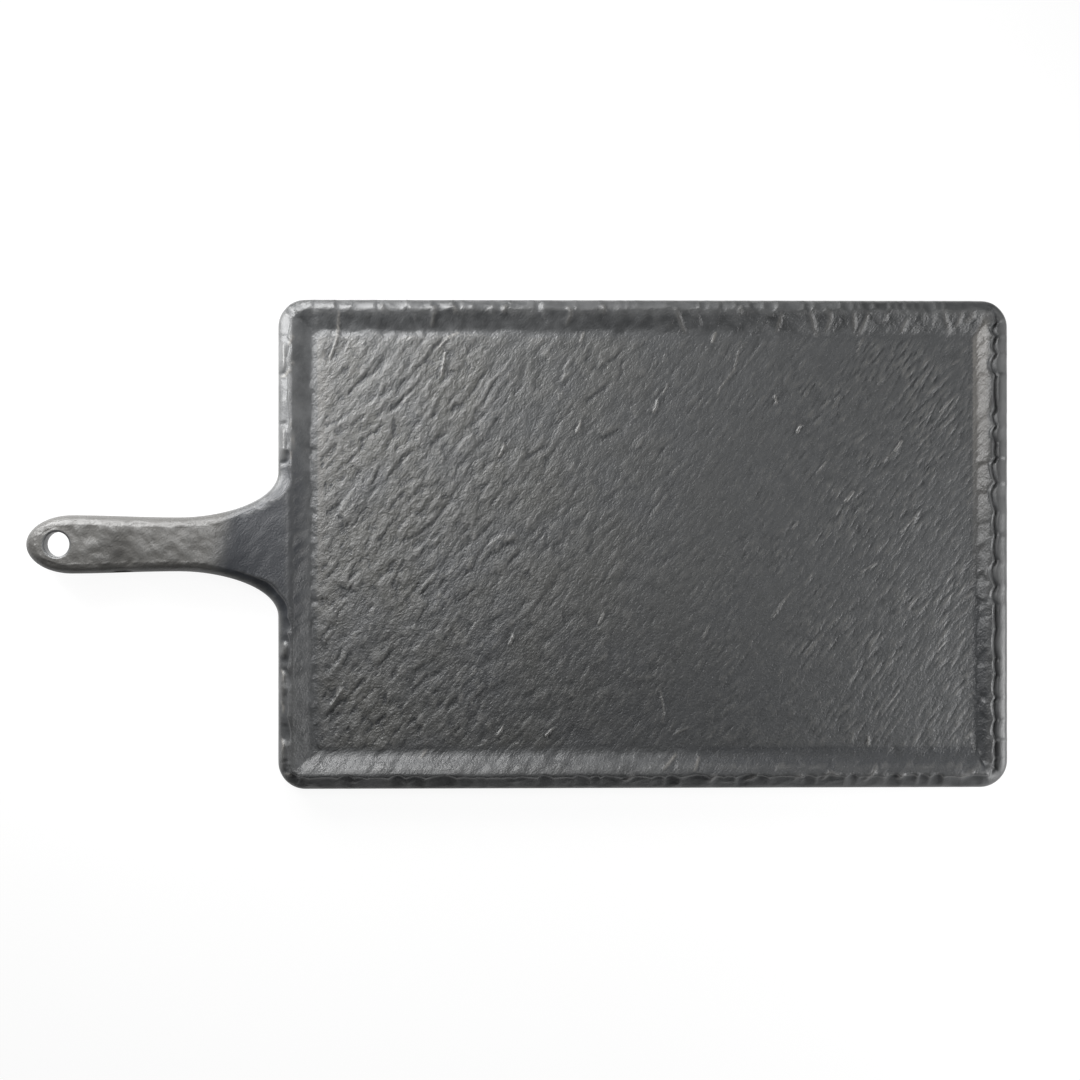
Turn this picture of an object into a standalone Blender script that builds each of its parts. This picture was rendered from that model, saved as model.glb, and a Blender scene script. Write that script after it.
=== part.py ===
# Serving paddle: a slate-look melamine moulding, board and handle in one, on four silicone feet
# that are bonded into pockets under it. Metres, +Z up. X runs from the handle's tip to the far end
# of the board and Y across it. The origin is the middle of the outline, on the table.

import math
import random

import bmesh
import bpy
from mathutils import Vector
from mathutils.geometry import delaunay_2d_cdt

MM = 0.001

# Plan
BOARD_LENGTH = 374 * MM
BOARD_WIDTH = 250 * MM
CORNER_RADIUS = 14 * MM
HANDLE_LENGTH = 126 * MM       # from the board's edge to the tip
HANDLE_WAIST = 27.3 * MM       # width at the narrowest place
HANDLE_SWELL = 29.5 * MM       # width beside the hanging hole
TIP_LENGTH = 23 * MM           # half ellipse that ends the handle
FLARE_LENGTH = 49.6 * MM       # quarter ellipse that joins the board, along the handle
FLARE_REACH = 23.2 * MM        # and across it, on each side
HOLE_DIAMETER = 12.2 * MM
HOLE_INSET = 15.8 * MM         # from the tip to the hole's centre
HOLE_ROUND = 1.3 * MM          # rounding of both mouths of the hole

# Heights
STANDOFF = 2.0 * MM            # table to underside
FIELD_THICKNESS = 5.5 * MM
RIM_RISE = 6.5 * MM            # crest of the rim above the serving field
HANDLE_RISE = 5.7 * MM         # top of the handle above the crest
HANDLE_THICKNESS = 9.5 * MM
HANDLE_CROWN = 0.8 * MM        # swell of the grip's top along its middle

# Rim, from the outline inwards
LEDGE_WIDTH = 6.2 * MM         # knapped bevel outside the crest
LEDGE_FALL = 5.7 * MM
CHIP_STEP = 1.3 * MM           # broken step between bevel and crest, its height
CHIP_RUN = 1.0 * MM            # and its width in plan
CHIP_BITE = 1.6 * MM           # deepest scallop that a chip takes out of the crest
CHIP_LEAST = 0.2               # shallowest scallop, as a share of the deepest
CHIP_SHORT = 11 * MM
CHIP_LONG = 26 * MM
CHIP_SEED = 7
SLOPE_WIDTH = 12 * MM          # crest down to the serving field
UNDER_EDGE = 3 * MM            # rounding of the board's lower edge
WALL_DRAFT = 0.4 * MM
HANDLE_EDGE = 4.5 * MM         # rounding along the grip

# Ramps between board and handle
BEND_FROM_TIP = 92 * MM        # where the top leaves the level of the grip
UNDER_RAMP_END = 16 * MM       # where the underside is flat, inwards from the board's edge
ROOT_HALF_WIDTH = 18 * MM      # the ramps keep their full height to here, each side of the middle
ROOT_FADE = 38 * MM            # and melt into the rim over this width
EDGE_FADE = 27 * MM            # the rim's edge turns into the grip's over this length of the flare

# Feet
FOOT_DIAMETER = 12 * MM
FOOT_ROUND = 1.0 * MM
FOOT_INSET_X = 38 * MM         # from the ends of the board
FOOT_INSET_Y = 34 * MM         # from its sides
POCKET_DEPTH = 2.0 * MM
ADHESIVE_DIAMETER = 10.5 * MM
ADHESIVE_THICKNESS = 0.5 * MM
CLEARANCE = 0.3 * MM           # between pieces that seat on or in each other

# Fineness
EDGE_STEP = 5 * MM
SLOPE_STEP = 13 * MM
ROOT_STEP = 7 * MM
TIP_STEPS = 10
FLARE_STEPS = 14
CORNER_STEPS = 6
TURNED_STEPS = 32
ROUND_STEPS = 4
INNER_MARGIN = 2.2 * MM        # least distance between an inner point and the ring round it
CUT_OVERRUN = 3 * MM
MERGE = 0.001 * MM             # points nearer than this are one
SHARP = math.radians(30)       # edges that fold more than this show as creases

# Places that follow from the sizes
BOARD_RIGHT = (BOARD_LENGTH + HANDLE_LENGTH) / 2
BOARD_LEFT = BOARD_RIGHT - BOARD_LENGTH
TIP_X = BOARD_LEFT - HANDLE_LENGTH
BOARD_MIDDLE = (BOARD_LEFT + BOARD_RIGHT) / 2
HALF_WIDTH = BOARD_WIDTH / 2
HOLE_X = TIP_X + HOLE_INSET
CREST_INSET = LEDGE_WIDTH + CHIP_RUN
FIELD_Z = STANDOFF + FIELD_THICKNESS
CREST_Z = FIELD_Z + RIM_RISE
HANDLE_Z = CREST_Z + HANDLE_RISE
GRIP_UNDER_Z = HANDLE_Z - HANDLE_THICKNESS
BEND_X = TIP_X + BEND_FROM_TIP
POCKET_Z = STANDOFF + POCKET_DEPTH
ADHESIVE_Z = POCKET_Z - CLEARANCE - ADHESIVE_THICKNESS
FOOT_TOP_Z = ADHESIVE_Z - CLEARANCE

# The knapped bevel in section: share of its width inwards, share of its fall still to go
LEDGE_SECTION = ((0.0, 1.0), (0.05, 0.78), (0.2, 0.58), (0.55, 0.3), (1.0, 0.0))

# How soft each ramp starts and ends, as shares of its length
SLOPE_EASE = (0.1, 0.4)
TOP_EASE = (0.2, 0.5)
UNDER_EASE = (0.3, 0.4)

# Where the inner slope has rows of points, as shares of its width
SLOPE_ROWS = (0.3, 0.5, 0.7, 0.85, 1.0)


def clear_scene():
    for thing in list(bpy.data.objects):
        bpy.data.objects.remove(thing, do_unlink=True)


def smooth(share):
    share = min(max(share, 0.0), 1.0)
    return share * share * (3 - 2 * share)


def ease(share, lead, tail):
    """0 to 1 along a straight ramp that starts over `lead` of its length and ends over `tail`."""
    share = min(max(share, 0.0), 1.0)
    top_speed = 1 / (1 - (lead + tail) / 2)
    if share < lead:
        return top_speed * share * share / (2 * lead)
    if share > 1 - tail:
        return 1 - top_speed * (1 - share) ** 2 / (2 * tail)
    return top_speed * (share - lead / 2)


# Plan outline

def arc(centre_x, centre_y, radius_x, radius_y, start, end, steps):
    turns = [start + (end - start) * step / steps for step in range(steps + 1)]
    return [(centre_x + radius_x * math.cos(a), centre_y + radius_y * math.sin(a)) for a in turns]


def straight(start, end, spacing):
    """Points between two corners, without the corners."""
    steps = max(1, round(math.dist(start, end) / spacing))
    return [
        (start[0] + (end[0] - start[0]) * step / steps, start[1] + (end[1] - start[1]) * step / steps)
        for step in range(1, steps)
    ]


def handle_side():
    """Lower side of the handle, from the tip to the board's left edge."""
    tip = arc(TIP_X + TIP_LENGTH, 0, TIP_LENGTH, HANDLE_SWELL / 2, math.pi, 1.5 * math.pi, TIP_STEPS)
    swell_x = TIP_X + TIP_LENGTH
    flare_x = BOARD_LEFT - FLARE_LENGTH
    waist = HANDLE_WAIST / 2
    grip = []
    steps = max(2, round((flare_x - swell_x) / EDGE_STEP))
    for step in range(1, steps):
        share = step / steps
        half = waist + (HANDLE_SWELL / 2 - waist) * (1 + math.cos(math.pi * share)) / 2
        grip.append((swell_x + (flare_x - swell_x) * share, -half))
    flare = arc(flare_x, -waist - FLARE_REACH, FLARE_LENGTH, FLARE_REACH, math.pi / 2, 0, FLARE_STEPS)
    return tip + grip + flare


def board_side(start):
    """Lower half of the board, from the end of the flare to the middle of the far edge."""
    radius = CORNER_RADIUS
    centre_y = radius - HALF_WIDTH
    near = arc(BOARD_LEFT + radius, centre_y, radius, radius, math.pi, 1.5 * math.pi, CORNER_STEPS)
    far = arc(BOARD_RIGHT - radius, centre_y, radius, radius, -math.pi / 2, 0, CORNER_STEPS)
    end = (BOARD_RIGHT, 0)
    return (
        straight(start, near[0], EDGE_STEP) + near
        + straight(near[-1], far[0], EDGE_STEP) + far
        + straight(far[-1], end, EDGE_STEP) + [end]
    )


def paddle_outline():
    """The whole edge, counter-clockwise seen from above, starting at the tip."""
    handle = handle_side()
    lower = handle + board_side(handle[-1])
    upper = [(x, -y) for x, y in reversed(lower[1:-1])]
    return lower + upper


def inward_normals(outline):
    normals = []
    for index, point in enumerate(outline):
        before = (Vector(point) - Vector(outline[index - 1])).normalized()
        after = (Vector(outline[(index + 1) % len(outline)]) - Vector(point)).normalized()
        along = (before + after).normalized()
        normals.append((-along.y, along.x))
    return normals


def chip_bites(outline):
    """How far the chip at each point of the edge reaches inwards, in scallops of random length."""
    dice = random.Random(CHIP_SEED)
    reached = 0.0
    start = 0.0
    length = dice.uniform(CHIP_SHORT, CHIP_LONG)
    depth = dice.uniform(CHIP_LEAST, 1) * CHIP_BITE
    bites = []
    for index, point in enumerate(outline):
        if index:
            reached += math.dist(point, outline[index - 1])
        while reached > start + length:
            start += length
            length = dice.uniform(CHIP_SHORT, CHIP_LONG)
            depth = dice.uniform(CHIP_LEAST, 1) * CHIP_BITE
        share = (reached - start) / length
        bites.append(depth * 4 * share * (1 - share))
    return bites


# Heights over the plan

def board_depth(x, y):
    """Distance inwards from the edge of the board, taken without its handle."""
    out_x = abs(x - BOARD_MIDDLE) - BOARD_LENGTH / 2 + CORNER_RADIUS
    out_y = abs(y) - HALF_WIDTH + CORNER_RADIUS
    corner = math.hypot(max(out_x, 0), max(out_y, 0))
    return CORNER_RADIUS - corner - min(max(out_x, out_y), 0)


def board_share(x):
    """1 along the board, 0 along the grip, and between them on the flare."""
    return smooth((x - BOARD_LEFT + EDGE_FADE) / EDGE_FADE)


def root_share(y):
    return 1 - smooth((abs(y) - ROOT_HALF_WIDTH) / ROOT_FADE)


def crown(x, y):
    """Swell along the middle of the grip, flat round the hole and on the flare."""
    land = HOLE_X + HOLE_DIAMETER / 2 + HOLE_ROUND
    across = max(0, 1 - (2 * y / HANDLE_SWELL) ** 2)
    return HANDLE_CROWN * across * smooth((x - land) / TIP_LENGTH) * (1 - board_share(x))


def top_height(x, y):
    crest_x = BOARD_LEFT + CREST_INSET
    if x < crest_x:
        ramp = 1 - ease((x - BEND_X) / (crest_x - BEND_X), *TOP_EASE)
        return CREST_Z + HANDLE_RISE * ramp * root_share(y) + crown(x, y)
    fall = ease((board_depth(x, y) - CREST_INSET) / SLOPE_WIDTH, *SLOPE_EASE)
    return CREST_Z - RIM_RISE * fall


def under_height(x, y):
    ramp_end = BOARD_LEFT + UNDER_RAMP_END
    ramp = 1 - ease((x - BEND_X) / (ramp_end - BEND_X), *UNDER_EASE)
    return STANDOFF + (GRIP_UNDER_Z - STANDOFF) * ramp * root_share(y)


# The moulding

def mix(board_value, grip_value, share):
    return board_value * share + grip_value * (1 - share)


def moulding_rings(outline):
    """Rings round the edge, from the crest over the outline to the flat of the underside."""
    normals = inward_normals(outline)
    bites = chip_bites(outline)
    rows = [[] for _ in range(2 * len(LEDGE_SECTION) + 1)]
    for (x, y), (nx, ny), bite in zip(outline, normals, bites):
        share = board_share(x)

        def place(row, inset, height, offset):
            px, py = x + nx * inset, y + ny * inset
            rows[row].append((px, py, height(px, py) + offset))

        bite *= share
        place(0, mix(CREST_INSET, HANDLE_EDGE + CHIP_RUN, share) + bite, top_height, 0)
        last = len(LEDGE_SECTION) - 1
        for step, (width, fall) in enumerate(LEDGE_SECTION):
            turn = math.pi / 2 * step / last
            round_in, round_down = 1 - math.cos(turn), 1 - math.sin(turn)
            inset = mix((LEDGE_WIDTH + bite) * width, HANDLE_EDGE * round_in, share)
            drop = mix(LEDGE_FALL * fall + CHIP_STEP, HANDLE_EDGE * round_down, share)
            place(last + 1 - step, inset, top_height, -drop)
            radius = mix(UNDER_EDGE, HANDLE_EDGE, share)
            inset = radius * round_in + WALL_DRAFT * share
            place(last + 2 + step, inset, under_height, radius * round_down)
    return rows


def is_inside(polygon, x, y):
    crossings = 0
    for (ax, ay), (bx, by) in zip(polygon, polygon[1:] + polygon[:1]):
        if (ay > y) != (by > y) and x < ax + (y - ay) * (bx - ax) / (by - ay):
            crossings += 1
    return crossings % 2 == 1


def is_clear(polygon, x, y):
    return is_inside(polygon, x, y) and min(math.dist(p, (x, y)) for p in polygon) > INNER_MARGIN


def slope_loop(depth):
    """The board's outline moved inwards by `depth`, closed."""
    left, right, half = BOARD_LEFT + depth, BOARD_RIGHT - depth, HALF_WIDTH - depth
    radius = max(CORNER_RADIUS - depth, 0)
    steps = CORNER_STEPS if radius else 0
    corners = []
    for centre_x, centre_y, turn in (
        (right - radius, radius - half, -math.pi / 2),
        (right - radius, half - radius, 0),
        (left + radius, half - radius, math.pi / 2),
        (left + radius, radius - half, math.pi),
    ):
        if steps:
            corners.append(arc(centre_x, centre_y, radius, radius, turn, turn + math.pi / 2, steps))
        else:
            corners.append([(centre_x, centre_y)])
    loop = []
    for corner, following in zip(corners, corners[1:] + corners[:1]):
        loop += corner + straight(corner[-1], following[0], SLOPE_STEP)
    return loop


def root_grid(left, right, reach):
    """Points under and over the handle and its root, in even rows."""
    columns = max(1, round((right - left) / ROOT_STEP))
    rows = round(reach / ROOT_STEP)
    return [
        [(left + (right - left) * column / columns, ROOT_STEP * row) for row in range(-rows, rows + 1)]
        for column in range(columns + 1)
    ]


def fill_inside(mesh, ring, lines, height):
    """Close a ring with triangles through the points of some lines, at a height over the plan."""
    polygon = [(vert.co.x, vert.co.y) for vert in ring]
    points = list(polygon)
    edges = [(index, (index + 1) % len(ring)) for index in range(len(ring))]
    verts = list(ring)
    for line in lines:
        before = None
        for x, y in line:
            if not is_clear(polygon, x, y):
                before = None
                continue
            points.append((x, y))
            verts.append(mesh.verts.new((x, y, height(x, y))))
            if before is not None:
                edges.append((before, len(points) - 1))
            before = len(points) - 1
    flat = [Vector(point) for point in points]
    places, _, faces, sources, _, _ = delaunay_2d_cdt(flat, edges, [], 0, MERGE)
    for face in faces:
        middle = sum((places[index] for index in face), Vector((0, 0))) / len(face)
        if is_inside(polygon, middle.x, middle.y):
            mesh.faces.new([verts[sources[index][0]] for index in face])


def moulding_mesh():
    mesh = bmesh.new()
    rings = [[mesh.verts.new(place) for place in row] for row in moulding_rings(paddle_outline())]
    for outer, inner in zip(rings, rings[1:]):
        for index in range(len(outer)):
            following = (index + 1) % len(outer)
            mesh.faces.new((outer[index], inner[index], inner[following], outer[following]))

    slope = [slope_loop(CREST_INSET + SLOPE_WIDTH * share) for share in SLOPE_ROWS]
    slope = [loop + loop[:1] for loop in slope]
    crest_x = BOARD_LEFT + CREST_INSET
    reach = ROOT_HALF_WIDTH + ROOT_FADE
    grip_start = HOLE_X + HOLE_DIAMETER
    fill_inside(mesh, rings[0], root_grid(grip_start, crest_x, reach) + slope, top_height)
    under = root_grid(grip_start, BOARD_LEFT + UNDER_RAMP_END, reach)
    fill_inside(mesh, rings[-1], under, under_height)
    bmesh.ops.recalc_face_normals(mesh, faces=mesh.faces)
    return mesh


# Turned forms

def turned_mesh(profile):
    """Closed solid from (radius, z) points that run up its outer side from the axis to the axis."""
    mesh = bmesh.new()
    verts = [mesh.verts.new((radius, 0, z)) for radius, z in profile]
    edges = [mesh.edges.new(pair) for pair in zip(verts, verts[1:])]
    bmesh.ops.spin(
        mesh, geom=verts + edges, cent=(0, 0, 0), axis=(0, 0, 1),
        angle=2 * math.pi, steps=TURNED_STEPS, use_merge=True,
    )
    bmesh.ops.remove_doubles(mesh, verts=mesh.verts, dist=MERGE)
    bmesh.ops.recalc_face_normals(mesh, faces=mesh.faces)
    return mesh


def hole_profile():
    """The hanging hole with both its mouths rounded."""
    radius = HOLE_DIAMETER / 2
    mouth = radius + HOLE_ROUND
    turns = [math.pi / 2 * step / ROUND_STEPS for step in range(ROUND_STEPS + 1)]
    under = [
        (mouth - HOLE_ROUND * math.sin(a), GRIP_UNDER_Z + HOLE_ROUND * (1 - math.cos(a))) for a in turns
    ]
    top = [(r, HANDLE_Z + GRIP_UNDER_Z - z) for r, z in reversed(under)]
    start = GRIP_UNDER_Z - CUT_OVERRUN
    end = HANDLE_Z + CUT_OVERRUN
    return [(0, start), (mouth, start)] + under + top + [(mouth, end), (0, end)]


def pocket_profile():
    radius = FOOT_DIAMETER / 2 + CLEARANCE
    start = STANDOFF - CUT_OVERRUN
    return [(0, start), (radius, start), (radius, POCKET_Z), (0, POCKET_Z)]


def foot_profile():
    radius = FOOT_DIAMETER / 2
    turns = [math.pi / 2 * step / ROUND_STEPS for step in range(ROUND_STEPS + 1)]
    tread = radius - FOOT_ROUND
    rounding = [(tread + FOOT_ROUND * math.sin(a), FOOT_ROUND * (1 - math.cos(a))) for a in turns]
    return [(0, 0)] + rounding + [(radius, FOOT_TOP_Z), (0, FOOT_TOP_Z)]


def adhesive_profile():
    radius = ADHESIVE_DIAMETER / 2
    return [(0, 0), (radius, 0), (radius, ADHESIVE_THICKNESS), (0, ADHESIVE_THICKNESS)]


# Objects

def principled(name, colour, roughness):
    material = bpy.data.materials.new(name)
    material.use_nodes = True
    shader = material.node_tree.nodes["Principled BSDF"]
    shader.inputs["Base Color"].default_value = (*colour, 1)
    shader.inputs["Roughness"].default_value = roughness
    shader.inputs["Metallic"].default_value = 0
    material.diffuse_color = (*colour, 1)
    return material


def finished_data(name, mesh, material=None):
    data = bpy.data.meshes.new(name)
    mesh.to_mesh(data)
    mesh.free()
    if material:
        data.materials.append(material)
    data.shade_smooth()
    data.set_sharp_from_angle(angle=SHARP)
    return data


def placed(name, data, location=(0, 0, 0)):
    thing = bpy.data.objects.new(name, data)
    thing.location = location
    bpy.context.collection.objects.link(thing)
    return thing


def cut_out(body, cutter):
    cutter.hide_render = True
    cutter.display_type = 'WIRE'
    cut = body.modifiers.new(cutter.name, 'BOOLEAN')
    cut.operation = 'DIFFERENCE'
    cut.solver = 'EXACT'
    cut.object = cutter


def foot_places():
    left, right = BOARD_LEFT + FOOT_INSET_X, BOARD_RIGHT - FOOT_INSET_X
    side = HALF_WIDTH - FOOT_INSET_Y
    return {
        "front_left": (left, -side),
        "front_right": (right, -side),
        "back_left": (left, side),
        "back_right": (right, side),
    }


def build_paddle():
    melamine = principled("moulded_melamine", (0.075, 0.075, 0.077), 0.42)
    silicone = principled("silicone_rubber", (0.03, 0.03, 0.032), 0.7)
    adhesive = principled("acrylic_adhesive", (0.62, 0.6, 0.55), 0.5)

    board = placed("paddle_board", finished_data("paddle_board", moulding_mesh(), melamine))
    hole = finished_data("hanging_hole", turned_mesh(hole_profile()))
    cut_out(board, placed("hanging_hole", hole, (HOLE_X, 0, 0)))

    pocket = finished_data("foot_pocket", turned_mesh(pocket_profile()))
    foot = finished_data("foot", turned_mesh(foot_profile()), silicone)
    disc = finished_data("adhesive", turned_mesh(adhesive_profile()), adhesive)
    for corner, (x, y) in foot_places().items():
        cut_out(board, placed("pocket_" + corner, pocket, (x, y, 0)))
        placed("foot_" + corner, foot, (x, y, 0))
        placed("adhesive_" + corner, disc, (x, y, ADHESIVE_Z))


clear_scene()
build_paddle()
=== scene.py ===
import math
import random
from functools import partial

import bpy
import numpy as np
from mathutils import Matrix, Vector
from mathutils.geometry import delaunay_2d_cdt


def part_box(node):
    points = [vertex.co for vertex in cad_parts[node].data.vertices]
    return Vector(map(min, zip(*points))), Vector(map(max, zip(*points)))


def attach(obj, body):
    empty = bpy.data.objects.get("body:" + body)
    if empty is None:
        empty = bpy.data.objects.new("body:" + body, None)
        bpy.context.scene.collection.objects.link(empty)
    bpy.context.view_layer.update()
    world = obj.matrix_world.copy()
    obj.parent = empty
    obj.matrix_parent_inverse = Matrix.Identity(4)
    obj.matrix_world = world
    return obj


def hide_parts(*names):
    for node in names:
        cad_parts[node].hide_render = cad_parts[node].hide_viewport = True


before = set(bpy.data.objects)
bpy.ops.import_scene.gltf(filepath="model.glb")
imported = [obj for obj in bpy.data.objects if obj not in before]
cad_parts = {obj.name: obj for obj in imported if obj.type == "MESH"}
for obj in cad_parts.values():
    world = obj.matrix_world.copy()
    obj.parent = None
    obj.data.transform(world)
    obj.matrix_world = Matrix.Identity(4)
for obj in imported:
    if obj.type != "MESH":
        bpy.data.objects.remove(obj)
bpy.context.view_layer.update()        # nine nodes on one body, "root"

mm = 0.001
print("frame loaded:", len(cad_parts), "nodes")
nodeModes = (  # where a kind of node keeps its mode
    "operation", "interpolation_type", "rotation_type", "noise_dimensions", "voronoi_dimensions",
    "attribute_name", "data_type")


def linearColour(hexValue):  # sRGB hex to the linear colour that sockets want
    shades = [int(hexValue[i:i + 2], 16) / 255 for i in (1, 3, 5)]
    return [s / 12.92 if s <= 0.04045 else ((s + 0.055) / 1.055) ** 2.4 for s in shades] + [1.0]


def fill(tree, node, *sources, **named):  # a value, a socket or a node for each input, in order or by name
    pairs = list(zip(node.inputs, sources))
    for name, source in named.items():  # fromMin stands for From Min
        fitting = (s for s in node.inputs if s.enabled and s.name.replace(" ", "").lower() == name.lower())
        pairs.append((next(fitting), source))
    for socket, source in pairs:
        if isinstance(source, bpy.types.Node):
            source = next(s for s in source.outputs if s.enabled)
        if isinstance(source, bpy.types.NodeSocket):
            tree.links.new(source, socket)
        else:
            socket.default_value = source


def addNode(tree, kind, *sources, **named):  # the kind, and after a space its mode
    kind, _, mode = kind.partition(" ")
    node = tree.nodes.new(kind if "Node" in kind else "ShaderNode" + kind)
    if mode:
        setattr(node, next(name for name in nodeModes if hasattr(node, name)), mode)
    fill(tree, node, *sources, **named)
    return node


def newMaterial(name):
    material = bpy.data.materials.new(name)
    material.use_nodes = True
    return material, material.node_tree, material.node_tree.nodes["Principled BSDF"]


def meshObject(name, points, faces):
    mesh = bpy.data.meshes.new(name)
    mesh.from_pydata(points, [], faces)
    thing = bpy.data.objects.new(name, mesh)
    bpy.context.scene.collection.objects.link(thing)
    return thing


# the moulding: sizes of the CAD part, in metres, with a slightly wider hole and finer edges
boardLow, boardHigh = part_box("paddle_board")
corners = ("front_left", "front_right", "back_left", "back_right")  # of the feet
paddle = {
    "handleLength": 126 * mm, "waist": 27.3 * mm, "swell": 29.5 * mm, "tipLength": 23 * mm,
    "flareLength": 49.6 * mm, "flareReach": 23.2 * mm, "cornerRadius": 14 * mm,
    "holeInset": 16.2 * mm, "holeDiameter": 12.6 * mm, "holeRound": 1.2 * mm, "segments": 64,
    "fieldThickness": 5.5 * mm, "rimRise": 6.5 * mm, "handleRise": 5.7 * mm, "handleThickness": 9.5 * mm,
    "crown": 0.8 * mm, "ledgeFall": 5.7 * mm, "chipStep": 1.3 * mm, "chipLeast": 0.2, "chipSeed": 7,
    "chipBias": 1.6, "chipPeak": (0.25, 0.75), "outlinePoints": 300, "wallRows": 5, "holeRows": 6,
    "palmDip": (-202 * mm, 8 * mm), "palmDipDepth": 3.2 * mm, "palmDipSide": (-9 * mm, 20 * mm),
    "gripEnd": (-158.5 * mm, 15 * mm), "gripSlant": 0.3, "rootClear": (-30 * mm, 15 * mm),
    "handleFalls": ((0.7, 1, 0.12, 0.01), (0.3, 0.55, 0.3, 0.5)),  # parts, their runs and soft ends
    "edgeSection": (0.58, 0.16, 0.5), "handleStep": 0.4, "underRampEase": (0.3, 0.4),
    "underEdge": 3 * mm, "draft": 0.4 * mm, "slim": 0.45, "slimRun": 30 * mm,
    "handleEdge": 5.0 * mm, "handleEdgeDrop": 4.6 * mm, "handleUnderEdge": 3.2 * mm,
    "bendFromTip": 92 * mm, "underRampEnd": 16 * mm, "rootHalfWidth": 18 * mm, "rootFade": 38 * mm,
    "edgeFade": (-27 * mm, 27 * mm), "edgeStep": 1.0 * mm, "gripStep": 1.3 * mm, "gripRows": 60,
    "gripClear": 0.8 * mm, "mouthClear": 0.7 * mm, "slopeClear": 0.6 * mm,
    "underStep": 5 * mm, "underRows": 12, "underClear": 2 * mm, "underMouthClear": 4 * mm,
    "grainAngle": math.radians(55), "cellAcross": 0.8 * mm, "cellAlong": 1.8 * mm, "gridReach": 440 * mm,
    "pocketClear": 0.3 * mm, "pocketDepth": 2 * mm, "pocketRim": 1.2 * mm, "pocketRound": 0.4 * mm,
}
tipX, rightX, halfWidth, underZ = boardLow.x, boardHigh.x, boardHigh.y, boardLow.z
leftX = tipX + paddle["handleLength"]
boardMiddle, boardLength = (leftX + rightX) / 2, rightX - leftX
holeX, holeRadius = tipX + paddle["holeInset"], paddle["holeDiameter"] / 2
mouthRadius = holeRadius + paddle["holeRound"]
fieldZ = underZ + paddle["fieldThickness"]
crestZ = fieldZ + paddle["rimRise"]
handleZ = crestZ + paddle["handleRise"]
gripUnderZ = handleZ - paddle["handleThickness"]
bendX = tipX + paddle["bendFromTip"]
# for the right, top, left and bottom side: places inwards from the edge, heights, and the slope's soft ends
rim = {
    "crest": np.array([8.6, 4.9, 5.9, 6.3]) * mm, "field": np.array([16.6, 18.4, 19.2, 19.8]) * mm,
    "rise": np.array([5.7, 6.5, 6.5, 6.5]) * mm, "overlap": 0.6 * mm, "fieldClear": 0.55 * mm,
    "stepFall": np.array([0.6, 0.1, 1.2, 1.2]) * mm, "stepRun": np.array([0.8, 1.2, 0.9, 1.0]) * mm,
    "lead": np.array([0.1, 0.12, 0.15, 0.45]), "tail": np.array([0.3, 0.35, 0.25, 0.35]),
    "ledgeAt": (0, 0.05, 0.2, 0.45, 0.55, 0.7, 0.85, 1),  # share of the ledge's width
    "ledge": (  # for each side the share of its fall still to go there
        (1, 0.6, 0.2, 0.07, 0.06, 0.07, 0.5, 0), (1, 0.68, 0.3, 0.17, 0.13, 0.08, 0.035, 0),
        (1, 0.74, 0.44, 0.26, 0.2, 0.13, 0.06, 0), (1, 0.85, 0.64, 0.42, 0.33, 0.22, 0.11, 0)),
    "rows": (0, 0.03, 0.09, 0.18, 0.28, 0.38, 0.48, 0.58, 0.68, 0.78, 0.89, 1), "stepRows": (0.35, 0.7, 1),
    "bite": np.array([2.6, 3.0, 1.8, 1.8]) * mm, "chipLean": np.array([0.5, 0.55, 0.5, 0.4]) * mm,
    "chipShort": np.array([8, 4, 8, 6]) * mm, "chipLong": np.array([20, 18, 20, 18]) * mm,
    "lip": np.array([0.18, 0.04, 0.1, 0.5]) * mm, "lipLength": 6 * mm, "knap": (0.1, 0.35, 0.25, 0.5),
    "fold": (1.2, 0.3, 0.25, 0.6), "grain": (0.45, 0.3, 0.2, 0.4),  # folds and grain on each slope
    "foldTorn": 0.6, "grainTorn": 0.5, "foldAtCrest": 0.6, "foldStart": (0, 0.2), "foldEnd": (0.69, 0.3),
    "foldLoss": 0.6, "leanFade": 0.3, "slopeRows": 11,
    "leastRadius": 2 * mm, "cornerPoints": 7,
}
zones = {  # changes along x or y: start and run of a ramp, or middle and half width of a hill
    "tornX": (40 * mm, 90 * mm), "plainX": (60 * mm, 50 * mm), "plainReach": 9 * mm, "borderMost": 0.8 * mm,
    # painted light at the top of the right slope, painted shade on its lower part and on the far end of the
    # lower slope
    "paleY": (-40 * mm, 150 * mm), "darkY": (5 * mm, 50 * mm), "dark": 0.45, "plain": 0.5,
    "flareEnd": (8 * mm, 10 * mm), "flareInset": (0.9 * mm, 3 * mm), "flareSpread": 0.8, "fieldFall": 1.2,
    "plates": (-100 * mm, 155 * mm), "plateMost": 1.35,
    "streakLeast": 0.3, "streaks": ((-60 * mm, 80 * mm, 0.15), (90 * mm, 110 * mm, 0.65)),  # and the gain
    "liftX": (-100 * mm, 250 * mm), "liftY": (-100 * mm, 80 * mm),
    # a pool of painted shade on the lower middle of the field, and painted light along its left side,
    # strongest at the top
    "duskX": (45 * mm, 90 * mm), "duskY": (-85 * mm, 40 * mm), "dusk": 0.3,
    "dawnWide": (25 * mm, 28 * mm), "dawnNarrow": (20 * mm, 7 * mm), "dawnY": (-70 * mm, 100 * mm),
    "dawn": (0.1, 0.35),
}
outlineZ = crestZ - paddle["ledgeFall"] - paddle["chipStep"]
far = 0.1  # stands for "not near" in a point's distances
offField = {"border": -far, "fall": -1}  # values of a point that isn't on the field or its slope
crestX = leftX + rim["crest"][2]


def smooth(share):
    share = np.clip(share, 0, 1)
    return share * share * (3 - 2 * share)


def ramp(value, zone):
    return smooth((value - zone[0]) / zone[1])


def hill(value, zone):
    return np.exp(-((value - zone[0]) / zone[1]) ** 2)


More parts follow.
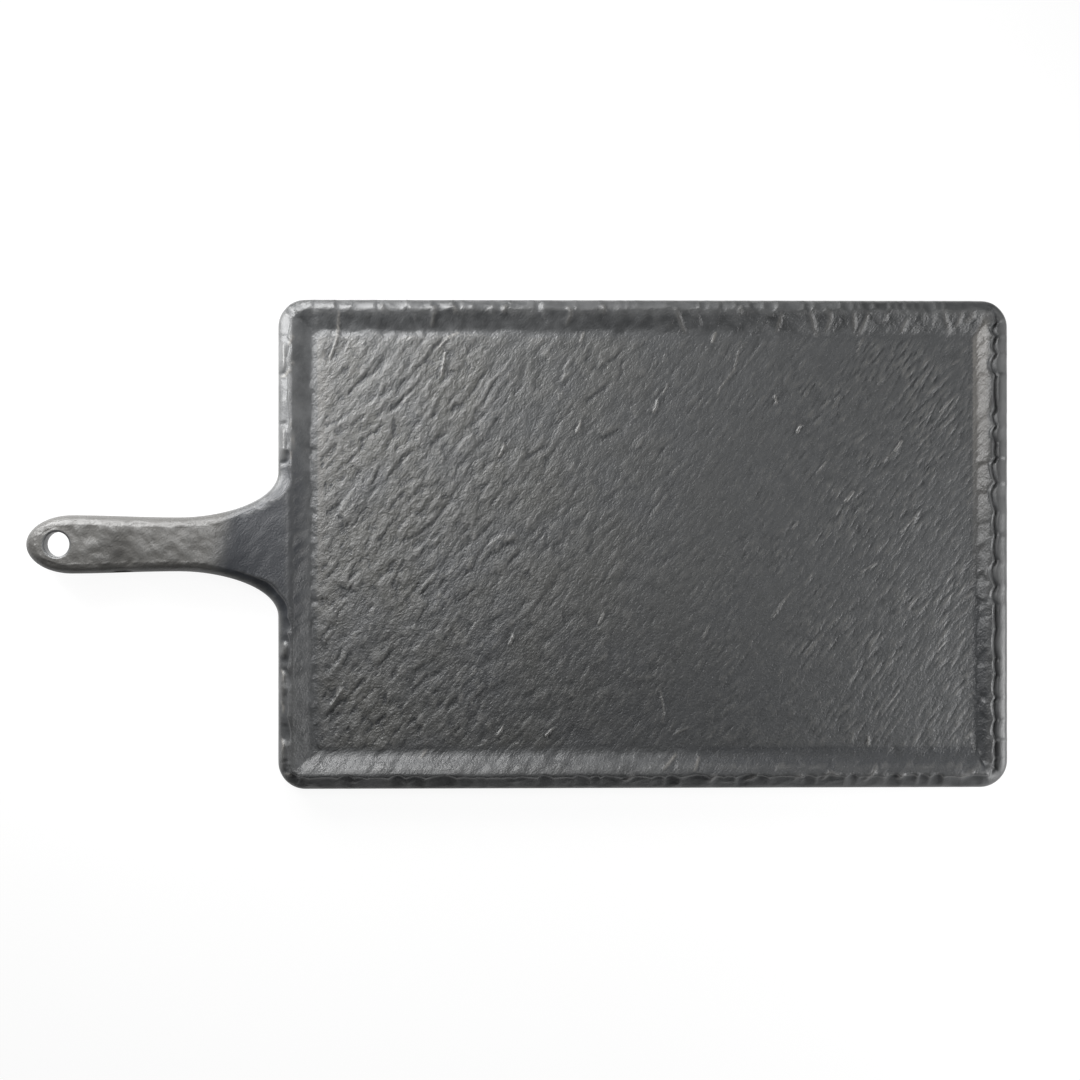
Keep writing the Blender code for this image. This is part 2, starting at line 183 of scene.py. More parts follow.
def ease(share, lead, tail):  # straight ramp with a soft start and end
    share = np.clip(share, 0, 1)
    speed = 1 / (1 - (lead + tail) / 2)
    start = speed * share ** 2 / (2 * np.maximum(lead, 1e-9))
    end = 1 - speed * (1 - share) ** 2 / (2 * np.maximum(tail, 1e-9))
    return np.where(share < lead, start, np.where(share > 1 - tail, end, speed * (share - lead / 2)))


def fieldDepth(x, y):  # distance inwards from the serving field's border
    edges = (rightX - x, halfWidth - y, x - leftX, y + halfWidth)
    return np.min([edge - inset for edge, inset in zip(edges, rim["field"])], axis=0)


def boardShare(x):  # 1 along the board, 0 along the grip
    return ramp(x - leftX, paddle["edgeFade"])


def rootShare(y):
    return 1 - ramp(np.abs(y), (paddle["rootHalfWidth"], paddle["rootFade"]))


def gripHeight(x, y):
    crown = np.maximum(0, 1 - (2 * y / paddle["swell"]) ** 2)
    crown = crown * ramp(x, (holeX + mouthRadius, paddle["tipLength"]))
    share = (x - bendX) / (crestX - bendX)
    fall = 1 - sum(part * ease(share / run, *ends) for part, run, *ends in paddle["handleFalls"])
    dip = paddle["palmDipDepth"] * hill(x, paddle["palmDip"]) * ramp(-y, paddle["palmDipSide"])
    lift = paddle["handleRise"] * fall * rootShare(y)
    return crestZ + lift + (paddle["crown"] * crown - dip) * (1 - boardShare(x))


def gripShare(x, y):  # 1 on the dented grip, 0 on the smooth flare; the two meet on a slant
    slant = ramp(x - paddle["gripSlant"] * y, paddle["gripEnd"])
    return (1 - slant) * (1 - ramp(x - leftX, paddle["rootClear"]))


def flareShare(x, y):
    before = 1 - ramp(x - leftX, zones["flareEnd"])
    return (1 - gripShare(x, y)) * before * rootShare(zones["flareSpread"] * y)


def sideShares(inward):  # how much of each side of the rim a point belongs to, from the way inwards there
    return np.maximum(np.c_[-inward, inward], 0) ** 2


def slopeHeight(inset, sides):  # inset is one value for each point, or one for each side of the board
    inset = np.broadcast_to(inset.reshape(-1, 1) if len(inset) == len(sides) else inset, sides.shape)
    fall = ease((inset - rim["crest"]) / (rim["field"] - rim["crest"]), rim["lead"], rim["tail"])
    return fieldZ + (sides * rim["rise"] * (1 - fall)).sum(axis=1)


def rootHeight(x, y):  # the handle's top, and the left slope below it
    left = np.tile([0.0, 0.0, 1.0, 0.0], (len(x), 1))
    return np.where(x < crestX, gripHeight(x, y), slopeHeight(x - leftX, left))


def underHeight(x, y):
    rise = 1 - ease((x - bendX) / (leftX + paddle["underRampEnd"] - bendX), *paddle["underRampEase"])
    return underZ + (gripUnderZ - underZ) * rise * rootShare(y)


def paddleOutline():  # even points round the edge, counter-clockwise from the tip, and the way to each
    turn, run = (np.linspace(0, end, paddle["outlinePoints"]) for end in (math.pi / 2, 1))
    swellX, flareX = tipX + paddle["tipLength"], leftX - paddle["flareLength"]
    swell, waist, radius = paddle["swell"] / 2, paddle["waist"] / 2, paddle["cornerRadius"]
    tip = np.c_[swellX - paddle["tipLength"] * np.cos(turn), -swell * np.sin(turn)]
    narrowing = (swell - waist) * (1 + np.cos(math.pi * run)) / 2
    grip = np.c_[swellX + (flareX - swellX) * run, -waist - narrowing]
    widening = paddle["flareReach"] * (1 - np.cos(turn))
    flare = np.c_[flareX + paddle["flareLength"] * np.sin(turn), -waist - widening]
    near = np.c_[leftX + radius * (1 - np.cos(turn)), radius * (1 - np.sin(turn)) - halfWidth]
    right = np.c_[rightX - radius * (1 - np.sin(turn)), radius * (1 - np.cos(turn)) - halfWidth]
    lower = np.r_[tip, grip[1:], flare[1:], near, right, [[rightX, 0]]]
    line = np.r_[lower, lower[-2::-1] * (1, -1)]
    way = np.r_[0, np.cumsum(np.hypot(*np.diff(line, axis=0).T))]
    count = round(way[-1] / paddle["edgeStep"])
    along = np.arange(count) * way[-1] / count
    return np.c_[np.interp(along, way, line[:, 0]), np.interp(along, way, line[:, 1])], along


def chips(along, sides):  # how far each scallop of the knapped crest reaches in, and how its face leans
    dice = random.Random(paddle["chipSeed"])
    start, length, rows = 0.0, 0.0, []
    for reached, side in zip(along, sides):
        while reached >= start + length:
            start += length
            spare = side @ (rim["chipLong"] - rim["chipShort"])
            length = side @ rim["chipShort"] + dice.random() ** paddle["chipBias"] * spare
            peak = dice.uniform(*paddle["chipPeak"])
            depth = dice.uniform(paddle["chipLeast"], 1) * (side @ rim["bite"])
            lean = dice.uniform(-1, 1) * (side @ rim["chipLean"])
        share = (reached - start) / length
        bulge = share / peak / 2 if share < peak else 1 - (1 - share) / (1 - peak) / 2
        rows.append((depth * 4 * bulge * (1 - bulge), lean * (2 * share - 1)))
    return np.array(rows).T


def lips(along, sides):  # broken lip that stands up along parts of the crest
    dice = random.Random(paddle["chipSeed"] + 1)
    knots = [max(0, dice.uniform(-1, 1)) for _ in range(int(along[-1] / rim["lipLength"]) + 2)]
    return np.interp(along / rim["lipLength"], range(len(knots)), knots) * (sides @ rim["lip"])


# the larger cracks and raised flakes of the moulding: a few points for each, by pixels of the photograph
strokes = {
    "pixel": 0.513 * mm, "cornerPixel": (277.5, 299.8), "crackStep": 0.6 * mm, "crackGroove": 0.55 * mm,
    "crackHalf": 0.7 * mm, "crackReach": 4 * mm, "foldHeight": 1.1 * mm, "foldHalf": 0.9 * mm,
    "glintHeight": 0.7 * mm, "glintHalf": 0.52 * mm, "glintStep": 0.55 * mm, "glintClear": 0.22 * mm,
    "glintRows": (-1.6, -0.8, 0, 0.8, 1.6), "knobHeight": 1.5 * mm, "knobHalf": 1.8 * mm,
    "scratchHeight": 0.3 * mm, "scratchHalf": 0.5 * mm,
    "kinds": {"cracks": "crack", "glints": "glint", "scratches": "scratch", "folds": "fold", "knobs": "knob"},
    # how strongly each kind of raised mark is painted with a highlight
    "pale": {"glints": 1.3, "scratches": 0.4, "folds": 0.4, "knobs": 0.2},
    "cracks": (
        (345, 395, 361, 379, 372, 373, 385, 356),
        (335, 472, 350, 460, 361, 447, 360, 440, 376, 430, 391, 415), (392, 408, 408, 392, 421, 378),
        (436, 416, 460, 403, 472, 391, 482, 374, 494, 359), (429, 446, 437, 437, 452, 429),
        (480, 407, 488, 389, 497, 376), (403, 300, 414, 327, 424, 350),
        (339, 525, 354, 524, 357, 515, 372, 500), (399, 540, 416, 534, 433, 521, 446, 501),
        (462, 546, 472, 541, 485, 528), (497, 543, 511, 542, 520, 541), (448, 603, 462, 597, 478, 583),
        (470, 571, 476, 555), (505, 562, 518, 552), (583, 402, 600, 388, 606, 385),
        (592, 370, 614, 356, 622, 348), (520, 459, 540, 448, 550, 443), (597, 438, 622, 427),
        (535, 305, 540, 318, 547, 332), (322, 718, 340, 700, 358, 685), (375, 668, 388, 652, 398, 645),
        (409, 693, 424, 675, 440, 670), (372, 722, 386, 712), (277, 337, 290, 337), (277, 375, 288, 375),
        (277, 424, 287, 423), (277, 462, 288, 462), (277, 657, 290, 659), (277, 688, 291, 690),
        (277, 722, 290, 724), (277, 760, 290, 757),
    ),
    "glints": (
        (339, 312, 336, 340, 328, 362), (458, 332, 446, 338, 436, 349), (444, 352, 440, 376),
        (773, 394, 775, 403), (795, 433, 799, 424), (893, 451, 901, 440), (329, 706, 341, 688),
        (691, 770, 697, 755), (675, 752, 660, 768), (843, 502, 853, 490), (867, 735, 866, 747),
        (497, 457, 500, 451, 503, 444), (574, 433, 577, 427, 579, 420), (651, 413, 654, 407, 656, 400),
        (578, 343, 582, 332), (710, 343, 714, 331), (507, 645, 512, 633), (596, 624, 602, 612),
        (543, 736, 551, 727), (495, 736, 501, 726), (419, 757, 425, 747), (291, 421, 293, 440, 291, 460),
        (294, 362, 290, 371, 285, 377, 280, 377), (294, 336, 289, 347), (281, 667, 284, 673, 283, 680),
        (281, 699, 284, 705, 283, 711), (281, 735, 284, 742, 283, 750), (284, 771, 293, 772),
    ),
    "scratches": (
        (658, 687, 662, 712, 660, 722), (673, 733, 687, 726), (790, 530, 797, 520),
        (738, 345, 733, 368, 718, 388, 715, 398), (660, 395, 667, 382), (888, 703, 897, 690),
        (898, 533, 918, 512), (858, 572, 877, 562), (770, 618, 782, 600, 792, 588), (935, 652, 945, 640),
        (815, 474, 825, 460), (938, 412, 957, 392), (880, 462, 893, 450), (950, 364, 960, 358),
        (855, 352, 863, 335), (700, 640, 708, 622), (905, 610, 917, 594),
    ),
    "folds": (
        (434, 306, 433, 314, 430, 328), (565, 306, 569, 314, 564, 326), (601, 305, 602, 314),
        (452, 306, 456, 315), (672, 308, 677, 320, 684, 334), (738, 306, 736, 316), (778, 314, 775, 332),
        (806, 312, 811, 324, 816, 337), (824, 310, 828, 319, 823, 331), (850, 313, 853, 331),
        (866, 311, 861, 326, 857, 335), (905, 318, 899, 332), (939, 309, 943, 320, 949, 333),
        (960, 312, 953, 328), (972, 314, 962, 322), (380, 305, 384, 313), (505, 305, 501, 314),
        (818, 778, 826, 770, 836, 775), (860, 780, 869, 771, 874, 764), (741, 779, 755, 773),
        (705, 781, 713, 772), (955, 777, 972, 767), (790, 777, 800, 772), (893, 778, 901, 771),
        (620, 779, 632, 773),
    ),
    "knobs": (
        (283, 670, 283, 703), (283, 738, 283, 768), (284, 342, 284, 372), (284, 427, 284, 460),
        (285, 640, 284, 655),
    ),
}


def strokePlace(line):
    across, down = (np.reshape(line, (-1, 2)) - strokes["cornerPixel"]).T * strokes["pixel"]
    return np.c_[leftX + across, halfWidth - down]


def strokeRelief(xy):  # a crack is a groove along a scarp, a raised flake is a short ridge with a painted highlight
    height, pale = np.zeros(len(xy)), np.zeros(len(xy))
    reach = strokes["crackReach"] * 3
    for kind, one in strokes["kinds"].items():
        half = strokes[one + "Half"]
        for line in strokes[kind]:
            points = strokePlace(line)
            low, high = points.min(axis=0) - reach, points.max(axis=0) + reach
            near = np.flatnonzero(((xy > low) & (xy < high)).all(axis=1))
            lengths = np.hypot(*np.diff(points, axis=0).T)
            apart, share = np.full(len(near), far), np.zeros(len(near))
            for start, end, before, length in zip(points, points[1:], np.cumsum(lengths) - lengths, lengths):
                way = (end - start) / length
                local = xy[near] - start
                reached = np.clip(local @ way, 0, length)
                sideways = way[0] * local[:, 1] - way[1] * local[:, 0]
                distance = np.hypot(*(local - reached[:, None] * way).T) * np.where(sideways < 0, -1, 1)
                closer = np.abs(distance) < np.abs(apart)
                apart[closer] = distance[closer]
                share[closer] = (before + reached[closer]) / lengths.sum()
            taper = np.sqrt(4 * share * (1 - share))
            core = np.exp(-(apart / half) ** 2)
            if kind == "cracks":
                scarp = np.tanh(apart / half) * np.exp(-np.abs(apart) / strokes["crackReach"])
                height[near] += taper * (strokes["crackStep"] / 2 * scarp - strokes["crackGroove"] * core)
            else:
                height[near] += taper * strokes[one + "Height"] * core
                # painted highlight along the raised marks
                pale[near] = np.maximum(pale[near], strokes["pale"][kind] * taper * core)
    return height, pale


def glintSpots():  # rows of points on both flanks of each glint
    spots = []
    for line in strokes["glints"] + strokes["scratches"]:
        points = strokePlace(line)
        for start, end, length in zip(points, points[1:], np.hypot(*np.diff(points, axis=0).T)):
            way = (end - start) / length
            flank = np.array([-way[1], way[0]]) * strokes["glintHalf"]
            for reached in np.arange(0, length, strokes["glintStep"]):
                spots += [start + way * reached + flank * side for side in strokes["glintRows"]]
    spots = np.array(spots)
    kept = np.ones(len(spots), bool)
    for k in range(1, len(spots)):
        kept[k] = np.hypot(*(spots[:k][kept[:k]] - spots[k]).T).min() > strokes["glintClear"]
    return spots[kept]


def slopeLoop(insets):  # a row round the inner slope, always of the same count, and its way inwards
    right, top, left, bottom = insets
    radius = max(paddle["cornerRadius"] - (right + top + left + bottom) / 4, rim["leastRadius"])
    highX, lowX = rightX - right - radius, leftX + left + radius
    highY, lowY = halfWidth - top - radius, bottom + radius - halfWidth
    turn = np.linspace(0, math.pi / 2, rim["cornerPoints"])
    counts = [round(side / paddle["edgeStep"]) for side in (2 * halfWidth, boardLength)]
    arcs = ((highX, lowY, -90), (highX, highY, 0), (lowX, highY, 90), (lowX, lowY, 180))
    loop, inward = [], []
    for number, (x, y, start) in enumerate(arcs):
        arc = turn + math.radians(start)
        out = np.c_[np.cos(arc), np.sin(arc)]
        loop.append(out * radius + (x, y))
        inward.append(-out)
        ahead = out[-1] * radius + arcs[(number + 1) % 4][:2]
        step = np.arange(1, counts[number % 2])[:, None] / counts[number % 2]
        loop.append(loop[-1][-1] * (1 - step) + ahead * step)
        inward.append(np.tile(-out[-1], (len(step), 1)))
    return np.concatenate(loop), np.concatenate(inward)


def insidePolygon(points, polygon):
    crossings = np.zeros(len(points), int)
    x, y = points.T
    for (ax, ay), (bx, by) in zip(polygon, np.roll(polygon, -1, axis=0)):
        if ay != by:
            crossings += ((ay > y) != (by > y)) & (x < ax + (y - ay) * (bx - ax) / (by - ay))
    return crossings % 2 == 1


def clearance(points, line):  # distance from each point to the nearest one of a line
    return np.array([np.hypot(*(line - p).T).min() for p in points])


def ringEdges(start, count):
    return [(start + i, start + (i + 1) % count) for i in range(count)]


def stitched(points, edges):  # triangles that keep the given points and edges
    _, _, faces, sources, _, _ = delaunay_2d_cdt([Vector(p) for p in points], edges, [], 0, 1e-8)
    return np.array([[sources[i][0] for i in face] for face in faces])


def circle(x, y, radius):
    turn = np.arange(paddle["segments"]) * 2 * math.pi / paddle["segments"]
    return np.c_[x + radius * np.cos(turn), y + radius * np.sin(turn)]


def evenSpots(endX, step, rows, line, clear, holeClear):  # a grid inside a line, clear of it and of the hole
    gx, gy = np.meshgrid(np.arange(tipX, endX, step), np.arange(-rows, rows + 1) * step, indexing="ij")
    spots = np.c_[gx.ravel(), gy.ravel()]
    spots = spots[insidePolygon(spots, line)]
    fromHole = np.hypot(spots[:, 0] - holeX, spots[:, 1])
    return spots[(clearance(spots, line) > clear) & (fromHole > holeRadius + holeClear)]


def quads(grid):  # the four corners of each cell
    return np.stack([grid[:-1, :-1], grid[1:, :-1], grid[1:, 1:], grid[:-1, 1:]], axis=-1)


def footPlace(corner):  # its box, its middle and its radius
    low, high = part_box("foot_" + corner)
    return low, high, (low.x + high.x) / 2, (low.y + high.y) / 2, (high.x - low.x) / 2


class Shell:  # collects points, faces and the values that the relief reads
    def __init__(self):
        self.places, self.faces, self.count = [], [], 0
        self.values = {name: [] for name in (
            "along", "inset", "border", "fall", "ledge", "grip", "flare", "top", "climb", "fold", "bloom")}

    def add(self, xy, z, **values):
        self.places.append(np.c_[xy, np.broadcast_to(z, len(xy))])
        for name, kept in self.values.items():
            kept.append(np.broadcast_to(values.get(name, 0.0), len(xy)).astype(float))
        self.count += len(xy)
        return np.arange(self.count - len(xy), self.count)

    def line(self, row):
        return np.concatenate(self.places)[row, :2]

    def bands(self, rows):  # quads between closed rows, each given before the one inside it
        for outer, inner in zip(rows, rows[1:]):
            self.faces += np.c_[outer, np.roll(outer, -1), np.roll(inner, -1), inner].tolist()

    def cap(self, row, x, y, z, way):  # fan from a closed row to its middle
        middle = self.add(np.array([[x, y]]), z)[0]
        self.faces += [[a, b, middle][::way] for a, b in ringEdges(row[0], len(row))]

    def patch(self, sets, loose, outer, holes, way=1):  # triangles between closed rows and one loose set
        numbers = np.concatenate(sets)
        points = self.line(numbers)
        starts = np.cumsum([0] + [len(s) for s in sets])
        edges = [pair for k, row in enumerate(sets) if k != loose for pair in ringEdges(starts[k], len(row))]
        triangles = stitched(points, edges)
        middles = points[triangles].mean(axis=1)
        keep = insidePolygon(middles, outer)
        for hole in holes:
            keep &= ~insidePolygon(middles, hole)
        self.faces += numbers[triangles[keep][:, ::way]].tolist()


def edgeFall(share):  # section of the handle's edge: a broad soft bevel, then a tighter turn to the wall
    bevel, soft, turn = paddle["edgeSection"]
    return bevel * share ** 2 / (share + soft) + turn * share ** 4


def edgeRows(shell):  # the knapped ledge up to the crest, and the wall down to the underside
    outline, along = paddleOutline()
    tangent = np.roll(outline, -1, axis=0) - np.roll(outline, 1, axis=0)
    tangent /= np.hypot(*tangent.T)[:, None]
    inward = np.c_[-tangent[:, 1], tangent[:, 0]]
    share = boardShare(outline[:, 0])
    sides = sideShares(inward)
    bite, lean = chips(along, sides) * share
    lip = lips(along, sides) * share
    slim = 1 - paddle["slim"] * ramp(outline[:, 0], (bendX, paddle["slimRun"]))  # finer on the flare
    edge, edgeDrop = paddle["handleEdge"] * slim, paddle["handleEdgeDrop"] * slim
    crestAt, stepFall, stepRun = (sides @ rim[name] for name in ("crest", "stepFall", "stepRun"))
    ledgeWidth = crestAt - stepRun + bite
    ledgeFall = sides @ rim["rise"] + fieldZ - stepFall - outlineZ
    knap = share * (sides @ rim["knap"])

    def topAt(xy, inset):
        return np.where(xy[:, 0] < crestX, gripHeight(*xy.T), slopeHeight(inset, sides))

    def ring(inset, height, offset, **values):
        xy = outline + inward * inset[:, None]
        # the flare's share, which shapes its facets and paints its bluish shade
        flare = flareShare(*xy.T) * ramp(inset, zones["flareInset"])
        return shell.add(xy, height(xy, inset) + offset, along=along, inset=inset, flare=flare,
                         grip=gripShare(*xy.T), **offField, **values)

    rows = []
    for width in rim["rows"]:  # outline to broken step
        fall = sides @ [np.interp(width, rim["ledgeAt"], section) for section in rim["ledge"]]
        inset = ledgeWidth * width * share + edge * width * (1 - share)
        drop = (ledgeFall * fall + stepFall) * share + edgeDrop * edgeFall(1 - width) * (1 - share)
        rows.append(ring(inset, topAt, lean * smooth(width / rim["leanFade"]) - drop, ledge=knap, top=1))
    for run in rim["stepRows"]:  # up the broken step to the crest
        onGrip = edge + stepRun * paddle["handleStep"] * run
        inset = (ledgeWidth + stepRun * run) * share + onGrip * (1 - share)
        rise = (lean - stepFall * share) * (1 - run) + lip * run
        climb, fold = (share * (sides @ rim[name]) * run for name in ("grain", "fold"))
        rows.append(ring(inset, topAt, rise, ledge=knap * (1 - run), top=1, climb=climb,
                         fold=rim["foldAtCrest"] * fold))
    shell.bands(rows)
    wall = [rows[0]]
    radius = paddle["underEdge"] * share + paddle["handleUnderEdge"] * (1 - share)
    for turn in np.linspace(0, math.pi / 2, paddle["wallRows"]):  # down the wall and round the lower edge
        inset = radius * (1 - math.cos(turn)) + paddle["draft"] * share
        wall.append(ring(inset, lambda xy, _: underHeight(*xy.T), radius * (1 - math.sin(turn))))
    shell.bands(wall[::-1])
    return rows[-1], wall[-1]


def slopeRows(shell):  # the inner slope, from just inside the crest to the field
    first, last = rim["crest"] + rim["bite"] + rim["overlap"], rim["field"] + rim["overlap"]
    loops = []
    for share in np.linspace(0, 1, rim["slopeRows"]):
        insets = first + (last - first) * share
        xy, inward = slopeLoop(insets)
        x, y = xy.T
        near = sideShares(inward)
        torn = near[:, 1] * ramp(x, zones["tornX"])
        plain = near[:, 3] * ramp(x, zones["plainX"])  # far end of the lower slope, riven like the field
        # painted shade, stronger towards the bottom of the right slope
        dark = zones["dark"] * near[:, 0] * ramp(-y, zones["darkY"])
        fold = near @ rim["fold"] + rim["foldTorn"] * torn
        fold *= 1 - (1 - rim["foldAtCrest"]) * (1 - ramp(share, rim["foldStart"]))
        fold *= 1 - rim["foldLoss"] * ramp(share, rim["foldEnd"])
        border = near @ (insets - rim["field"]) + plain * zones["plainReach"]
        # painted light on the right slope's top; painted shade on the lower slope's far end, on the right
        # slope's lower part and where the flare meets the left slope
        loops.append(shell.add(
            xy, slopeHeight(insets, near), border=np.minimum(border, zones["borderMost"]), top=1, inset=far,
            flare=zones["plain"] * plain + dark + near[:, 2] * flareShare(x, y), fold=fold,
            bloom=near[:, 0] * ramp(y, zones["paleY"]), climb=near @ rim["grain"] + rim["grainTorn"] * torn,
            fall=near @ ((insets - rim["crest"]) / (rim["field"] - rim["crest"]))))
    shell.bands(loops)
    return loops


def servingField(shell, loop):  # cells that lie along the grain, stitched to the slope's last row
    ahead = np.array([math.cos(paddle["grainAngle"]), math.sin(paddle["grainAngle"])])
    axes = np.array([ahead, (-ahead[1], ahead[0])])
    cell = np.array([paddle["cellAlong"], paddle["cellAcross"]])
    counts = np.round(paddle["gridReach"] / cell).astype(int)
    centre = np.array([boardMiddle, 0])
    grid = np.stack(np.meshgrid(*map(np.arange, counts), indexing="ij"), axis=-1)
    steps = (grid - counts / 2) * cell
    grid = centre + steps[..., :1] * axes[0] + steps[..., 1:] * axes[1]

    def cellPlace(points):
        return (points - centre) @ axes.T / cell + counts / 2

    def fieldPoints(xy):
        x, y = xy.T
        # a pool of painted shade on the field, and painted light along its left side
        dusk = zones["dusk"] * hill(x, zones["duskX"]) * hill(y, zones["duskY"])
        dawn = zones["dawn"][0] * hill(x - leftX, zones["dawnWide"])
        dawn += zones["dawn"][1] * hill(x - leftX, zones["dawnNarrow"]) * ramp(y, zones["dawnY"])
        return shell.add(xy, fieldZ, border=fieldDepth(x, y), fall=zones["fieldFall"], top=1, inset=far,
                         flare=dusk, bloom=dawn)

    kept = fieldDepth(grid[..., 0], grid[..., 1]) > rim["overlap"] + rim["fieldClear"]
    index = np.full(kept.shape, -1)
    index[kept] = fieldPoints(grid[kept])
    full = quads(kept).all(axis=-1)
    glints = glintSpots()
    near = cellPlace(glints)
    inGrid = ((near > 0) & (near < np.array(full.shape))).all(axis=1)
    glints, near = glints[inGrid], np.floor(near[inGrid]).astype(int)
    glints, near = glints[full[tuple(near.T)]], near[full[tuple(near.T)]]
    full[tuple(near.T)] = False  # cells under a glint are stitched through its own points
    shell.faces += quads(index)[full].tolist()
    padded = np.pad(full, 1)
    border = kept & ~quads(padded).all(axis=-1)
    borderNumber = np.full(kept.shape, -1)
    borderNumber[border] = np.arange(border.sum()) + len(loop)
    edges = ringEdges(0, len(loop))
    for a, b, one, two in (
        (np.s_[:-1, :], np.s_[1:, :], padded[1:-1, :-1], padded[1:-1, 1:]),
        (np.s_[:, :-1], np.s_[:, 1:], padded[:-1, 1:-1], padded[1:, 1:-1]),
    ):
        lone = one ^ two
        edges += list(zip(borderNumber[a][lone].tolist(), borderNumber[b][lone].tolist()))
    glints = glints[clearance(glints, grid[border]) > strokes["glintClear"]]
    line = shell.line(loop)
    points = np.r_[line, grid[border], glints]
    numbers = np.r_[loop, index[border], fieldPoints(glints)]
    triangles = stitched(points, edges)
    middles = points[triangles].mean(axis=1)
    i, j = np.clip(np.floor(cellPlace(middles)).astype(int).T, 0, np.array(full.shape)[:, None] - 1)
    shell.faces += numbers[triangles[insidePolygon(middles, line) & ~full[i, j]]].tolist()


def handleTop(shell, crest, loop):  # top of the handle, and the strip inside the crest
    crestLine, slopeLine = shell.line(crest), shell.line(loop)
    endX = slopeLine[:, 0].min()
    spots = evenSpots(endX, paddle["gripStep"], paddle["gripRows"], crestLine, paddle["gripClear"],
                      paddle["holeRound"] + paddle["mouthClear"])
    spots = spots[spots[:, 0] < endX - paddle["slopeClear"]]
    # the flare's share also paints its bluish shade
    grip = shell.add(spots, rootHeight(*spots.T), grip=gripShare(*spots.T), flare=flareShare(*spots.T), top=1,
                     inset=far, **offField)
    mouth = circle(holeX, 0, mouthRadius)
    row = shell.add(mouth, handleZ, grip=1, inset=far, **offField)
    shell.patch([crest, loop, grip, row], 2, crestLine, [slopeLine, mouth])
    return row


def hangingHole(shell, mouth):  # rounded at both mouths
    turns, rounding = np.linspace(0, math.pi / 2, paddle["holeRows"])[1:], paddle["holeRound"]
    walls = [(mouthRadius - rounding * math.sin(a), handleZ - rounding * (1 - math.cos(a))) for a in turns]
    walls += [(radius, handleZ + gripUnderZ - z) for radius, z in reversed(walls)]
    walls.append((mouthRadius, gripUnderZ))
    rows = [shell.add(circle(holeX, 0, radius), z, inset=far, **offField) for radius, z in walls]
    shell.bands([mouth] + rows)
    return rows[-1]


def underside(shell, edge, mouth):  # flat, with a ramp to the handle and four foot pockets
    line = shell.line(edge)
    spots = evenSpots(leftX + paddle["underRampEnd"], paddle["underStep"], paddle["underRows"], line,
                      paddle["underClear"], paddle["underMouthClear"])
    sets, holes = [edge, mouth], [circle(holeX, 0, mouthRadius)]
    rimWidth, depth, rounding = paddle["pocketRim"], paddle["pocketDepth"], paddle["pocketRound"]
    sections = ((rimWidth, 0), (rounding, 0), (rounding / 4, rounding / 4), (0, rounding), (0, depth))
    for corner in corners:
        _, _, x, y, radius = footPlace(corner)
        radius += paddle["pocketClear"]
        rings = [shell.add(circle(x, y, radius + wider), underZ + deep) for wider, deep in sections]
        shell.bands(rings[::-1])
        shell.cap(rings[-1], x, y, underZ + depth, -1)
        sets.append(rings[0])
        holes.append(circle(x, y, radius + rimWidth))
    sets.append(shell.add(spots, underHeight(*spots.T)))
    shell.patch(sets, len(sets) - 1, line, holes, -1)


def mouldedBoard():
    shell = Shell()
    crest, lowerEdge = edgeRows(shell)
    loops = slopeRows(shell)
    servingField(shell, loops[-1])
    mouth = handleTop(shell, crest, loops[0])
    underside(shell, lowerEdge, hangingHole(shell, mouth))
    places = np.concatenate(shell.places)
    values = {name: np.concatenate(kept) for name, kept in shell.values.items()}
    onTop = values["top"] > 0
    height, pale = strokeRelief(places[onTop, :2])
    places[onTop, 2] += height
    # the raised marks' painted highlights join the other painted light
    values["bloom"][onTop] = np.maximum(values["bloom"][onTop], pale)
    x, y = places[:, :2].T
    # split plates towards the handle, streaks towards the far end, a raised border at the upper left
    gains = [gain * ramp(x, (start, run)) for start, run, gain in zones["streaks"]]
    values["plates"] = zones["plateMost"] * hill(x, zones["plates"])
    values["streak"] = zones["streakLeast"] + sum(gains)
    values["lift"] = (1 - ramp(x, zones["liftX"])) * ramp(y, zones["liftY"])
    board = meshObject("riven_board", places.tolist(), shell.faces)
    board.data.validate()
    for name, kept in values.items():
        board.data.attributes.new(name, "FLOAT", "POINT").data.foreach_set("value", kept.astype(np.float32))
    board.data.shade_smooth()
    return board


board = mouldedBoard()
print("board moulded:", len(board.data.polygons), "faces")

# relief of the moulding: riven grain on the field, flakes on the ledge, soft dents elsewhere
relief = {
    "Grain angle": math.radians(50), "Cross angle": math.radians(16),
    "Ridge width": 1.9 * mm, "Ridge length": 4.2 * mm, "Ridge height": 0.3 * mm,
    "Streak length": 10 * mm, "Streak width": 2.0 * mm, "Streak height": 1.5 * mm,
    "Plate width": 4.6 * mm, "Plate length": 9 * mm, "Plate step": 0.45 * mm, "Plate lean": 0.5 * mm,
    "Cleft spacing": 25 * mm, "Cleft depth": 0.25 * mm,
    "Field start": -1.2 * mm, "Field lift": 1.0 * mm, "Ragged depth": 7.5 * mm,
    "Fold length": 11 * mm, "Fold width": 7 * mm, "Fold step": 0.4 * mm, "Fold lean": 1.1 * mm,
    "Flake length": 9 * mm, "Flake width": 6 * mm, "Flake depth": 1.3 * mm,
    "Facet length": 9 * mm, "Facet width": 4.05 * mm, "Facet height": 0.7 * mm,
    "Dent size": 5.5 * mm, "Dent depth": 2.3 * mm, "Wear depth": 0.2 * mm, "Seed": 3.0,
}
patches = {"calm": 24 * mm, "cleft": 22 * mm, "ragged": 5 * mm}  # sizes of the noise that spreads these
patchSeeds = {"calm": 5.2, "cleft": 1.7}
fades = {  # where each change begins and where it ends
    "calm": (0.3, 0.7), "clefted": (0.42, 0.62), "cleft": (0, 0.05), "slope": (0.05, 0.35),
    "field": (-0.7 * mm, 0.7 * mm), "inner": (0, 5 * mm), "lift": (-0.7 * mm, 1.4 * mm),
    "ledge": (-0.3 * mm, 1.2 * mm), "grip": (0.5 * mm, 4.5 * mm),
}
